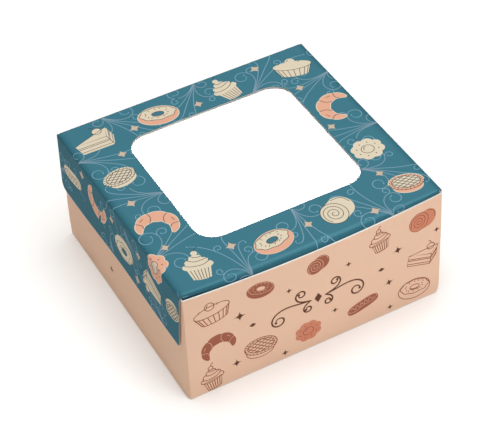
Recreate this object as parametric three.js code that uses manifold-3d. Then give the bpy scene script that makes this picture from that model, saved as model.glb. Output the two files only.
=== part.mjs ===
// Pastry box: a printed paperboard tray with a hinged lid, a clear window in the lid,
// two flaps that hang outside the sides and a tuck flap that goes down behind the front.
// Millimetres, +Z up, front towards -Y. The origin is under the middle of the whole box.

import * as THREE from 'three';
import { mergeVertices } from 'three/addons/utils/BufferGeometryUtils.js';
import Module from 'manifold-3d';

// Driving dimensions

const WIDTH = 152; // outside of the lid, side crease to side crease
const DEPTH = 147; // front corners to the outside of the rear wall
const HEIGHT = 73.5; // underside to the top of the lid
const BOARD = 0.5; // thickness of the paperboard
const GAP = 0.3; // room between pieces that only touch
const SIDE_PLAY = 0.6; // room between a side wall and the lid's flap at the fold

const WALL_CREASE = 1.4; // outside radius of the tray's folded edges
const LEAST_ROUND = 0.05; // least radius of its corners seen from above
const CORNER_DIP = 3; // behind the front corners the side walls stay low this far
const CORNER_RISE = 3; // and then rise to their full height over this distance
const LID_CREASE = 1; // outside radius of the lid's side folds
const FRONT_STEP = 3.6; // the front wall's top edge lies this far under the lid
const FRONT_BOW = 3.6; // how far the middle of that edge is pushed outwards
const BOW_RISE = 1.3; // how the bow grows from the base to the top edge, as a power

const FLAP_HEIGHT = 36; // side flaps, from the top of the lid
const FLAP_FLARE = THREE.MathUtils.degToRad(2.4); // they spring out by this angle
const FLAP_REAR_ROUND = 5; // radius of a side flap's lower rear corner
const FLAP_FRONT_ROUND = 1.5; // radius of its lower front corner

const ROLL_MIDDLE = 4; // radius of the soft front fold, in the middle
const ROLL_END = 1.5; // and at its ends
const TUCK_HEIGHT = 22; // tuck flap, from the top of the lid
const TUCK_LEAN = THREE.MathUtils.degToRad(13); // it leans away from the front wall
const TUCK_TAPER = 3.2; // each end of it draws in by this much on its way down
const TUCK_ROUND = 9; // radius of its lower corners
const TUCK_SHOULDER = 1.5; // each end draws in by this much within the fold

const WINDOW = 96; // side of the window
const WINDOW_ROUND = 12; // radius of its corners
const FILM_RIM = 9; // the film is glued this far round the window
const FILM = 0.2; // thickness of the film

const TAB_WIDTH = 18; // corner tabs, glued inside the side walls
const TAB_BASE = 3; // their lower end above the underside
const TAB_TOP = 64; // their upper end above the underside
const TAB_SLANT = 4; // how much their free edge draws in at each end
const TAB_BITE = 0.2; // how far they reach into the walls, so that all is one solid

const BOW_STEPS = 26; // facets along the bowed front
const FOLD_STEPS = 4; // facets round a tight fold
const ROLL_STEPS = 8; // facets round the soft front fold
const ROUND_STEPS = 6; // rows down a flap's round corners

// Places worked out from them

const rearY = (DEPTH + FRONT_BOW) / 2;
const frontY = rearY - DEPTH;
const windowY = (rearY + frontY) / 2;
const wallX = WIDTH / 2 - BOARD - SIDE_PLAY; // outside of the tray's side walls
const wallTop = HEIGHT - BOARD - 2 * GAP; // top of the side and rear walls
const frontTop = HEIGHT - FRONT_STEP;
const panelX = WIDTH / 2 - LID_CREASE; // where the flat of the lid ends
const lidFrontY = frontY + BOARD + GAP; // the lid's front, behind the front wall

// How far the front is pushed out, as a share: none at the corners, all in the middle.
function bowAcross(x) {
  return Math.max(0, 1 - (x / wallX) ** 2);
}

// Closed bodies from grids of points

function bodyFromFaces(points, triangles) {
  const geometry = new THREE.BufferGeometry();
  geometry.setAttribute('position', new THREE.Float32BufferAttribute(points.flat(), 3));
  geometry.setIndex(triangles.flat());
  return geometry;
}

// A skin through a stack of rings with equal counts of points, with a flat cap on each end.
function ringBody(rings) {
  const count = rings[0].length;
  const points = rings.flat();
  const triangles = [];
  for (let level = 0; level + 1 < rings.length; level += 1) {
    for (let i = 0; i < count; i += 1) {
      const a = level * count + i;
      const b = level * count + (i + 1) % count;
      triangles.push([a, b, b + count], [a, b + count, a + count]);
    }
  }
  const last = (rings.length - 1) * count;
  const flat = (ring) => ring.map(([x, y]) => new THREE.Vector2(x, y));
  for (const [i, j, k] of THREE.ShapeUtils.triangulateShape(flat(rings[0]), [])) {
    triangles.push([k, j, i]);
  }
  for (const [i, j, k] of THREE.ShapeUtils.triangulateShape(flat(rings.at(-1)), [])) {
    triangles.push([last + i, last + j, last + k]);
  }
  return bodyFromFaces(points, triangles);
}

// A sheet of board over a grid of stations. place(i, j, inside) gives a point of its outer
// or inner face, and keep(i, j) says whether the sheet covers the cell after that station.
function boardBody(columns, rows, place, keep) {
  const points = [];
  const number = (i, j, inside) => ((j * columns + i) * 2 + inside);
  for (let j = 0; j < rows; j += 1) {
    for (let i = 0; i < columns; i += 1) {
      points.push(place(i, j, 0), place(i, j, 1));
    }
  }
  const covered = (i, j) => (
    i >= 0 && j >= 0 && i + 1 < columns && j + 1 < rows && keep(i, j)
  );
  const triangles = [];
  const quad = (a, b, c, d) => triangles.push([a, b, c], [a, c, d]);
  const edge = (i0, j0, i1, j1) => quad(
    number(i0, j0, 0), number(i0, j0, 1), number(i1, j1, 1), number(i1, j1, 0),
  );
  for (let j = 0; j + 1 < rows; j += 1) {
    for (let i = 0; i + 1 < columns; i += 1) {
      if (!covered(i, j)) continue;
      quad(number(i, j, 0), number(i + 1, j, 0), number(i + 1, j + 1, 0), number(i, j + 1, 0));
      quad(number(i, j, 1), number(i, j + 1, 1), number(i + 1, j + 1, 1), number(i + 1, j, 1));
      if (!covered(i, j - 1)) edge(i, j, i + 1, j);
      if (!covered(i + 1, j)) edge(i + 1, j, i + 1, j + 1);
      if (!covered(i, j + 1)) edge(i + 1, j + 1, i, j + 1);
      if (!covered(i - 1, j)) edge(i, j + 1, i, j);
    }
  }
  // Stations that belong to no cell are dropped.
  const used = [...new Set(triangles.flat())];
  const renumbered = new Map(used.map((old, now) => [old, now]));
  return bodyFromFaces(
    used.map((old) => points[old]),
    triangles.map((corners) => corners.map((old) => renumbered.get(old))),
  );
}

// Joining and cutting

const wasm = await Module();
wasm.setup();

function solid(geometry) {
  const plain = geometry.clone();
  plain.deleteAttribute('normal');
  plain.deleteAttribute('uv');
  const merged = mergeVertices(plain, 1e-5);
  return new wasm.Manifold(new wasm.Mesh({
    numProp: 3,
    vertProperties: new Float32Array(merged.attributes.position.array),
    triVerts: new Uint32Array(merged.index.array),
  }));
}

function geometryOf(body) {
  const mesh = body.getMesh();
  const geometry = new THREE.BufferGeometry();
  geometry.setAttribute('position', new THREE.BufferAttribute(mesh.vertProperties, 3));
  geometry.setIndex(new THREE.BufferAttribute(mesh.triVerts, 1));
  return geometry;
}

// Shapes that are used more than once

function roundedSquare(side, radius) {
  const half = side / 2;
  const reach = half - radius;
  const shape = new THREE.Shape();
  shape.moveTo(-reach, -half);
  shape.absarc(reach, -reach, radius, -Math.PI / 2, 0);
  shape.absarc(reach, reach, radius, 0, Math.PI / 2);
  shape.absarc(-reach, reach, radius, Math.PI / 2, Math.PI);
  shape.absarc(-reach, -reach, radius, Math.PI, Math.PI * 1.5);
  return shape;
}

function evenly(from, to, steps) {
  return Array.from({ length: steps + 1 }, (_, k) => from + (to - from) * (k / steps));
}

// How far a straight end has drawn in at this depth, where its corner at full depth is round.
function cornerDraw(depth, full, radius) {
  const into = Math.max(0, depth - (full - radius));
  return radius - Math.sqrt(Math.max(0, radius ** 2 - into ** 2));
}

// Tray: base and four walls

// The walls' line seen from above, counter-clockwise, drawn in by a distance.
function wallLine(inset) {
  const x = wallX - WALL_CREASE;
  const corners = [[x, frontY, -1], [x, rearY, 1], [-x, rearY, 1], [-x, frontY, -1]];
  const radius = Math.max(WALL_CREASE - inset, LEAST_ROUND);
  const dipY = frontY + CORNER_DIP;
  const riseY = dipY + CORNER_RISE;
  const line = [];
  corners.forEach(([cornerX, cornerY, towards], index) => {
    const centreY = cornerY - towards * WALL_CREASE;
    const start = (index - 1) * (Math.PI / 2);
    for (const turn of evenly(0, Math.PI / 2, FOLD_STEPS)) {
      line.push({
        x: cornerX + radius * Math.cos(start + turn),
        y: centreY + radius * Math.sin(start + turn),
        front: towards < 0,
        top: towards < 0 ? frontTop : wallTop,
      });
    }
    const side = (y, top) => line.push({
      x: Math.sign(cornerX) * (wallX - inset), y, front: false, top,
    });
    if (index === 0) {
      side(dipY, frontTop);
      side(riseY, wallTop);
    }
    if (index === 2) {
      side(riseY, wallTop);
      side(dipY, frontTop);
    }
    if (index === 3) {
      for (const along of evenly(-x, x, BOW_STEPS).slice(1, -1)) {
        line.push({ x: along, y: frontY + inset, front: true, top: frontTop });
      }
    }
  });
  return line;
}

// One level of the walls, from 0 at the base's fold to 1 at the top edge.
function wallRing(inset, share) {
  return wallLine(inset).map(({ x, y, front, top }) => {
    const z = WALL_CREASE + share * (top - WALL_CREASE);
    const bow = front ? FRONT_BOW * bowAcross(x) * share ** BOW_RISE : 0;
    return [x, y - bow, z];
  });
}

// One level of the fold between the base and the walls.
function foldRing(radius, angle) {
  const inset = WALL_CREASE - radius * Math.cos(angle);
  const z = WALL_CREASE - radius * Math.sin(angle);
  return wallLine(inset).map(({ x, y }) => [x, y, z]);
}

// A glued tab lies flat inside a side wall, from the front or the rear wall's end.
function cornerTab(side, towards) {
  const start = towards < 0 ? frontY + BOARD - TAB_BITE : rearY - BOARD + TAB_BITE;
  const end = start - towards * TAB_WIDTH;
  const shape = new THREE.Shape([
    new THREE.Vector2(start, TAB_BASE),
    new THREE.Vector2(end, TAB_BASE + TAB_SLANT),
    new THREE.Vector2(end, TAB_TOP - TAB_SLANT),
    new THREE.Vector2(start, TAB_TOP),
  ]);
  const thickness = BOARD + TAB_BITE;
  const tab = new THREE.ExtrudeGeometry(shape, { depth: thickness, bevelEnabled: false });
  // The shape's own axes become Y and Z, and its thickness runs along X.
  tab.rotateX(Math.PI / 2);
  tab.rotateZ(Math.PI / 2);
  const inner = wallX - 2 * BOARD;
  tab.translate(side > 0 ? inner : -inner - thickness, 0, 0);
  return tab;
}

function trayGeometry() {
  const levels = evenly(0, 1, 8);
  const folds = evenly(Math.PI / 2, 0, FOLD_STEPS).slice(0, -1);
  const inside = WALL_CREASE - BOARD;
  const rings = [
    ...folds.map((angle) => foldRing(WALL_CREASE, angle)),
    ...levels.map((share) => wallRing(0, share)),
    ...levels.toReversed().map((share) => wallRing(BOARD, share)),
    ...folds.toReversed().map((angle) => foldRing(inside, angle)),
  ];
  let tray = solid(ringBody(rings));
  for (const side of [-1, 1]) {
    for (const towards of [-1, 1]) tray = tray.add(solid(cornerTab(side, towards)));
  }
  return geometryOf(tray);
}

// Lid: panel, side flaps and tuck flap, one sheet

// Stations from one side flap's lower edge over the panel to the other's. depth is the
// distance along the board from the flat of the panel, 0 on the panel itself.
function acrossStations() {
  const turn = Math.PI / 2 - FLAP_FLARE;
  const half = [];
  for (const angle of evenly(0, turn, FOLD_STEPS).slice(1)) {
    half.push({
      x: panelX + LID_CREASE * Math.sin(angle),
      z: HEIGHT - LID_CREASE * (1 - Math.cos(angle)),
      depth: LID_CREASE * angle,
      normal: [Math.sin(angle), Math.cos(angle)],
    });
  }
  const fold = half.at(-1);
  const length = (FLAP_HEIGHT - HEIGHT + fold.z) / Math.cos(FLAP_FLARE);
  const rows = [
    ...evenly(0, length - FLAP_REAR_ROUND, 3).slice(1),
    ...evenly(0, Math.PI / 2, ROUND_STEPS).slice(1)
      .map((angle) => length - FLAP_REAR_ROUND * (1 - Math.sin(angle))),
  ];
  for (const down of rows) {
    half.push({
      x: fold.x + down * Math.sin(FLAP_FLARE),
      z: fold.z - down * Math.cos(FLAP_FLARE),
      depth: fold.depth + down,
      normal: fold.normal,
    });
  }
  const panel = evenly(-panelX, panelX, BOW_STEPS)
    .map((x) => ({ x, z: HEIGHT, depth: 0, normal: [0, 1] }));
  const other = half.map((s) => ({ ...s, x: -s.x, normal: [-s.normal[0], s.normal[1]] }));
  return [...other.toReversed(), ...panel, ...half];
}

// Stations from the rear edge over the panel and the front fold to the tuck flap's edge.
function alongStations() {
  const turn = Math.PI / 2 + TUCK_LEAN;
  const panel = evenly(0, 1, 4).map((share) => ({ share, turn: 0, down: 0 }));
  const roll = evenly(0, turn, ROLL_STEPS).slice(1)
    .map((angle) => ({ share: 1, turn: angle, down: 0 }));
  const straight = [
    ...evenly(0, 1, 2).slice(1).map((share) => ({ share: 1, turn, down: share / 2 })),
    ...evenly(0, Math.PI / 2, ROUND_STEPS).slice(1)
      .map((angle) => ({ share: 1, turn, down: (1 + Math.sin(angle)) / 2 })),
  ];
  return [...panel, ...roll, ...straight];
}

function lidSheet() {
  const across = acrossStations();
  const along = alongStations();
  const flapDepth = across.at(-1).depth;

  // The panel and, past its front, the fold and the tuck flap.
  function frontPoint({ x }, { share, turn, down }, inside) {
    const radius = ROLL_END + (ROLL_MIDDLE - ROLL_END) * bowAcross(x);
    const outermost = lidFrontY - FRONT_BOW * bowAcross(x);
    const foldY = outermost + radius;
    if (turn === 0) return [x, rearY + (foldY - rearY) * share, HEIGHT - inside * BOARD];
    const reach = radius - inside * BOARD;
    const endZ = HEIGHT - radius + radius * Math.cos(turn);
    const length = (endZ - (HEIGHT - TUCK_HEIGHT)) / Math.cos(TUCK_LEAN);
    const fallen = down * length;
    const fullTurn = Math.PI / 2 + TUCK_LEAN;
    const narrowed = TUCK_SHOULDER * (turn / fullTurn) + TUCK_TAPER * down
      + cornerDraw(fallen, length, Math.min(TUCK_ROUND, length / 2));
    return [
      x * (1 - narrowed / panelX),
      foldY - reach * Math.sin(turn) + fallen * Math.sin(TUCK_LEAN),
      HEIGHT - radius + reach * Math.cos(turn) - fallen * Math.cos(TUCK_LEAN),
    ];
  }

  // A side flap: its front end stands forward of the panel's corner, past a small notch.
  function flapPoint({ x, z, depth, normal }, { share }, inside) {
    const notch = ROLL_END * (1 - Math.min(1, depth / (2 * LID_CREASE)));
    const front = lidFrontY + notch + cornerDraw(depth, flapDepth, FLAP_FRONT_ROUND);
    const rear = rearY - cornerDraw(depth, flapDepth, FLAP_REAR_ROUND);
    return [
      x - inside * BOARD * normal[0],
      rear + (front - rear) * share,
      z - inside * BOARD * normal[1],
    ];
  }

  return boardBody(
    along.length,
    across.length,
    (i, j, inside) => (across[j].depth > 0
      ? flapPoint(across[j], along[i], inside)
      : frontPoint(across[j], along[i], inside)),
    (i, j) => (across[j].depth === 0 && across[j + 1].depth === 0) || along[i + 1].turn === 0,
  );
}

function windowCutter() {
  const height = 4 * BOARD;
  const cutter = new THREE.ExtrudeGeometry(
    roundedSquare(WINDOW, WINDOW_ROUND),
    { depth: height, bevelEnabled: false, curveSegments: 10 },
  );
  return cutter.translate(0, windowY, HEIGHT - BOARD / 2 - height / 2);
}

function lidGeometry() {
  return geometryOf(solid(lidSheet()).subtract(solid(windowCutter())));
}

// Window film: a clear sheet glued under the lid

function filmGeometry() {
  const film = new THREE.ExtrudeGeometry(
    roundedSquare(WINDOW + 2 * FILM_RIM, FILM_RIM / 2),
    { depth: FILM, bevelEnabled: false, curveSegments: 4 },
  );
  return film.translate(0, windowY, HEIGHT - BOARD - GAP - FILM);
}

// The box

function piece(name, geometry, color, roughness) {
  const material = new THREE.MeshStandardMaterial({ color, roughness, metalness: 0 });
  const mesh = new THREE.Mesh(geometry, material);
  mesh.name = name;
  return mesh;
}

const box = new THREE.Group();
box.add(piece('tray', trayGeometry(), 0xe8c5ad, 0.6));
box.add(piece('lid', lidGeometry(), 0x2f6f86, 0.5));
box.add(piece('window_film', filmGeometry(), 0xf4f7f8, 0.1));

export default box;
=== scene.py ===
import math

import bmesh
import bpy
from mathutils import Matrix, Vector
from mathutils.geometry import tessellate_polygon


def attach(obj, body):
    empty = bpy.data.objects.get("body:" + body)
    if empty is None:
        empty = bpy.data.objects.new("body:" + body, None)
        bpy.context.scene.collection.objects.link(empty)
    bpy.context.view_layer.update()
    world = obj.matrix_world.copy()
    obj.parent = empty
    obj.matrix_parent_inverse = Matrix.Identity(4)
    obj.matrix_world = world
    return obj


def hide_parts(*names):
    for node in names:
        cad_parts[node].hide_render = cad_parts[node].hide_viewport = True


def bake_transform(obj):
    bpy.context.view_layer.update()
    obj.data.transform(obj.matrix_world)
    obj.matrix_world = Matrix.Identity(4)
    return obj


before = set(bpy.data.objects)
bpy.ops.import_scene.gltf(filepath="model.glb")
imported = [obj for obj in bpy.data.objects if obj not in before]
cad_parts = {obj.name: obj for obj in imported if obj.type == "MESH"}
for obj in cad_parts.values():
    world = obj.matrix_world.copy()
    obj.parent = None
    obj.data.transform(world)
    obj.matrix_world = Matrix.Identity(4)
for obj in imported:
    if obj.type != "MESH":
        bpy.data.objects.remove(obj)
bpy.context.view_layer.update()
mm = 0.001


# The camera looks down over the box's front left corner, through a long lens. It stands
# where the photo's camera did, as fitted to the box's corners.
camera_azimuth = math.radians(-25.90)
camera_elevation = math.radians(42.43)
camera_roll = math.radians(-3.83)
camera_distance = 1036.4 * mm
aim_right, aim_up = -1.72 * mm, 23.68 * mm  # from the origin, as the camera sees it
lens_pixels = 1875  # focal length, in pixels of a frame that is 500 wide
frame_pixels = 500
sensor_width = 36

camera_turn = (
    Matrix.Rotation(camera_azimuth, 3, "Z")
    @ Matrix.Rotation(math.pi / 2 - camera_elevation, 3, "X")
    @ Matrix.Rotation(camera_roll, 3, "Z")
)
bpy.ops.object.select_all(action="DESELECT")
bpy.ops.object.camera_add(
    location=camera_turn @ Vector((aim_right, aim_up, camera_distance)),
    rotation=camera_turn.to_euler(),
)
camera = bpy.context.object
camera.name = "camera"
camera.data.sensor_width = sensor_width
camera.data.lens = lens_pixels / frame_pixels * sensor_width
camera.data.clip_end = 20
bpy.context.scene.camera = camera


# The tray: one sheet of white-backed board, printed peach outside, creased up from the base
# into four walls. The front wall is slack along its top and stands out in the middle.
board = 0.5 * mm
ink_room = 0.05 * mm  # the board lies this far inside the solids' faces, under the ink
wall_x = 75.15 * mm - ink_room
tray_shift = 0.25 * mm
left_spread = 1.05 * mm
left_bow = 0.95 * mm
rear_bulge, bulge_top = 0.45 * mm, 35 * mm
right_bow = 0.5 * mm
corner_flare, flare_start = 1.05 * mm, 31 * mm
corner_soft = 1.4 * mm
crushed_up, crushed_along = 2.2 * mm, 6 * mm
corner_fade = 1.2 * mm  # along the sides, a front corner's own shape dies out this soon
front_y = -71.5 * mm + ink_room
front_skew = 0.45 * mm
front_lean = 0.7 * mm
rear_y = 75.3 * mm - ink_room
base_z = ink_room
wall_crease = 0.6 * mm
side_top = 72.4 * mm
front_top = 70.5 * mm
front_bow = 3.5 * mm
bow_rise = 1.3
corner_dip = 3 * mm
corner_rise = 3 * mm
front_steps = 52
side_steps = 14
corner_steps = 6
fold_steps = 5
wall_rows = 12
foot_rows = [0.02, 0.045]  # two more rows close to the foot, as shares of the height
edge_wear = 0.7 * mm  # the print is chipped this far down from the cut edge

front_half = wall_x - wall_crease
corner_arc = wall_crease * math.pi / 2
side_run = rear_y - front_y - 2 * wall_crease
halfway = 2 * front_half + 2 * corner_arc + side_run


def clamp(value, low, high):
    return min(max(value, low), high)


def wall_line(along, inset):
    """A place on the walls' line seen from above, and its outward direction. along runs
    from the front's middle, positive to the right, to the rear's middle either way."""
    hand = math.copysign(1, along)
    run = abs(along)
    corner_x = wall_x - wall_crease
    radius = wall_crease - inset
    if run <= front_half:
        return Vector((hand * run, front_y + inset)), Vector((0, -1))
    run -= front_half
    if run < corner_arc:
        turn = run / wall_crease
        out = Vector((hand * math.sin(turn), -math.cos(turn)))
        return Vector((hand * corner_x, front_y + wall_crease)) + radius * out, out
    run -= corner_arc
    if run <= side_run:
        place = Vector((hand * (wall_x - inset), front_y + wall_crease + run))
        return place, Vector((hand, 0))
    run -= side_run
    if run < corner_arc:
        turn = run / wall_crease
        out = Vector((hand * math.cos(turn), math.sin(turn)))
        return Vector((hand * corner_x, rear_y - wall_crease)) + radius * out, out
    run -= corner_arc
    return Vector((hand * (corner_x - run), rear_y - inset)), Vector((0, 1))


def wall_point(along, height, lift):
    """A point of the walls' printed face. height is measured up the sheet from the end of
    the base's fold, so less than nothing is in the fold. lift stands off the face."""
    inset, z = 0, base_z + wall_crease + height
    if height < 0:
        turn = -height / wall_crease
        inset = wall_crease * (1 - math.cos(turn))
        z = base_z + wall_crease * (1 - math.sin(turn))
    place, out = wall_line(along, inset)
    hang = 1 - max(height, 0) / (side_top - wall_crease)
    forward = 1 - (place.y - front_y) / (rear_y - front_y)
    place.y -= forward * (front_lean * hang - front_skew * place.x / wall_x)
    if abs(along) < front_half and height > 0:
        across = 1 - (place.x / front_half) ** 2
        share = height / (front_top - wall_crease)
        place.y -= front_bow * across * share ** bow_rise
    share = place.x / wall_x
    run = clamp(abs(along) - front_half - corner_arc, 0, side_run)
    near_corner = math.exp(-run / corner_fade)
    place.x += tray_shift
    if along > 0:
        place.x += right_bow * share * math.sin(math.pi * hang)
        # The front right corner stands out towards its top, and is crushed at its foot.
        flare = max(0, (height - flare_start) / (front_top - flare_start)) ** 0.8
        place.x += corner_flare * flare * share ** 4 * near_corner
        crushed = math.exp(-max(height, 0) / crushed_up - run / crushed_along)
        place.x -= corner_soft * crushed * share ** 12
    else:
        place.x += share * left_spread * hang
        place.x -= left_bow * hang * (1 - near_corner) * (1 - run / side_run) ** 1.3
        bulge = math.sin(math.pi * clamp(height / bulge_top, 0, 1))
        place.x += rear_bulge * bulge * share * (run / side_run) ** 4
    return Vector((place.x + lift * out.x, place.y + lift * out.y, z))


def wall_height(along):
    """How tall the wall is from its fold up: low at the front, and rising behind the
    front corners."""
    behind = abs(along) - front_half - corner_arc
    rise = clamp((behind - corner_dip) / corner_rise, 0, 1)
    return front_top + (side_top - front_top) * rise - wall_crease - base_z


def flat_sheet(name, left, right, front, rear):
    """A plain sheet lying flat, of one face."""
    bpy.ops.object.select_all(action="DESELECT")
    bpy.ops.mesh.primitive_plane_add(
        size=1, location=((left + right) / 2, (front + rear) / 2, 0)
    )
    sheet = bpy.context.object
    sheet.name = sheet.data.name = name
    sheet.scale = (right - left, rear - front, 1)
    bpy.ops.object.transform_apply(location=True, rotation=False, scale=True)
    return sheet


def pick(piece):
    """Selects this piece alone."""
    bpy.ops.object.select_all(action="DESELECT")
    piece.select_set(True)
    bpy.context.view_layer.objects.active = piece


def open_mesh(piece):
    """Goes into edit mode on this piece alone."""
    pick(piece)
    bpy.ops.object.mode_set(mode="EDIT")


def choose(piece, kind, fits):
    """In edit mode, selects the vertices, edges or faces whose middle fits."""
    bpy.ops.mesh.select_mode(type=kind)
    bpy.ops.mesh.select_all(action="DESELECT")
    shape = bmesh.from_edit_mesh(piece.data)
    if kind == "VERT":
        found = [v for v in shape.verts if fits(v.co)]
    elif kind == "EDGE":
        found = [e for e in shape.edges if fits((e.verts[0].co + e.verts[1].co) / 2)]
    else:
        found = [f for f in shape.faces if fits(f.calc_center_median())]
    for item in found:
        item.select_set(True)
    bmesh.update_edit_mesh(piece.data)


def close_to(a, b):
    return abs(a - b) < 0.01 * mm


def score(piece, axis, places, fits=None):
    """In edit mode, cuts a flat sheet along straight lines across one axis, where it will
    bend. Only faces that fit are cut, or all of them."""
    for place in places:
        if fits:
            choose(piece, "FACE", fits)
        else:
            bpy.ops.mesh.select_all(action="SELECT")
        bpy.ops.mesh.bisect(
            plane_co=[place if i == axis else 0 for i in range(3)],
            plane_no=[1 if i == axis else 0 for i in range(3)],
        )


def evenly(first, last, steps):
    return [first + (last - first) * i / steps for i in range(steps + 1)]


def both_sides(places):
    """The same places on either side of the middle."""
    return [hand * place for hand in (-1, 1) for place in places]


def fold_up(piece, bent, **marks):
    """Bends a flat sheet, point by point. Each mark is kept as an attribute: how far a point
    is in a crease, or near a cut edge, say."""
    for name, amount in marks.items():
        mark = piece.data.attributes.new(name, "FLOAT", "POINT")
        mark.data.foreach_set("value", [amount(v.co.x, v.co.y) for v in piece.data.vertices])
    for v in piece.data.vertices:
        v.co = bent(v.co.x, v.co.y, v.co.z)
    piece.data.update()


def thicken(piece, thickness, cut_slot=0):
    """Gives a sheet its thickness, inwards from its outer face, and smooth bends.
    cut_slot is its cut edges' material slot. Unless that is 0, its inner face has slot 1."""
    wall = piece.modifiers.new("thickness", "SOLIDIFY")
    wall.thickness = thickness
    wall.offset = -1
    wall.use_even_offset = True
    wall.material_offset = min(cut_slot, 1)
    wall.material_offset_rim = cut_slot
    pick(piece)
    bpy.ops.object.modifier_apply(modifier=wall.name)
    bpy.ops.object.shade_smooth_by_angle(angle=math.radians(30))


tray = flat_sheet("tray_board", -halfway, halfway, -corner_arc, 1)
# Until it is folded, the sheet's height is 1 over the fold, whatever the wall's height is.
open_mesh(tray)
side_start = front_half + corner_arc
corner_lines = both_sides([
    place for first in (front_half, side_start + side_run)
    for place in evenly(first, first + corner_arc, corner_steps)
])
dip_lines = both_sides([side_start + corner_dip, side_start + corner_dip + corner_rise])
side_lines = both_sides([
    side_start + side_run * share ** 1.8 for share in evenly(0, 1, side_steps)[1:-1]
])
front_lines = evenly(-front_half, front_half, front_steps)[1:-1]
wall_shares = foot_rows + evenly(0, 1, wall_rows)[1:-1]


def on_front(middle):
    return abs(middle.x) < front_half


score(tray, 0, corner_lines + dip_lines + side_lines)
score(tray, 0, front_lines, on_front)
score(tray, 1, evenly(-corner_arc, 0, fold_steps)[1:])
score(tray, 1, wall_shares + [1 - edge_wear / side_top])
bpy.ops.object.mode_set(mode="OBJECT")
fold_up(
    tray,
    lambda x, y, z: wall_point(x, y * wall_height(x) if y > 0 else y, z),
    crease=lambda x, y: 1 if -corner_arc * 0.99 < y < 0.01 * mm else 0,
    cut=lambda x, y: 1 if y > 0.999 else 0,
)
open_mesh(tray)
bpy.ops.mesh.select_all(action="SELECT")
bpy.ops.mesh.remove_doubles(threshold=0.005 * mm)
choose(tray, "EDGE", lambda c: close_to(c.z, base_z))
bpy.ops.mesh.edge_face_add()
bpy.ops.mesh.select_all(action="SELECT")
bpy.ops.mesh.normals_make_consistent(inside=False)
bpy.ops.object.mode_set(mode="OBJECT")


def colour(red, green, blue):
    """A colour as it is picked on screen, from 0 to 255, in the renderer's own light."""
    def linear(value):
        share = value / 255
        return share / 12.92 if share <= 0.04045 else ((share + 0.055) / 1.055) ** 2.4
    return (linear(red), linear(green), linear(blue), 1)


def feed(tree, socket, value):
    """Gives a node's input a constant, or another node's output."""
    if isinstance(value, bpy.types.NodeSocket):
        tree.links.new(value, socket)
    else:
        socket.default_value = value


def math_node(tree, operation, *values):
    """One step of a sum, on constants or other nodes' outputs."""
    node = tree.nodes.new("ShaderNodeMath")
    node.operation = operation
    for socket, value in zip(node.inputs, values):
        feed(tree, socket, value)
    return node.outputs[0]


def mix_node(tree, factor, a, b):
    """Blends colour b over colour a."""
    node = tree.nodes.new("ShaderNodeMix")
    node.data_type = "RGBA"
    for name, value in (("Factor", factor), ("A", a), ("B", b)):
        feed(tree, node.inputs[name], value)
    return node.outputs["Result"]


def mark_node(tree, name):
    """How strong one of the sheet's marks is, from point to point."""
    node = tree.nodes.new("ShaderNodeAttribute")
    node.attribute_name = name
    return node.outputs["Fac"]


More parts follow.
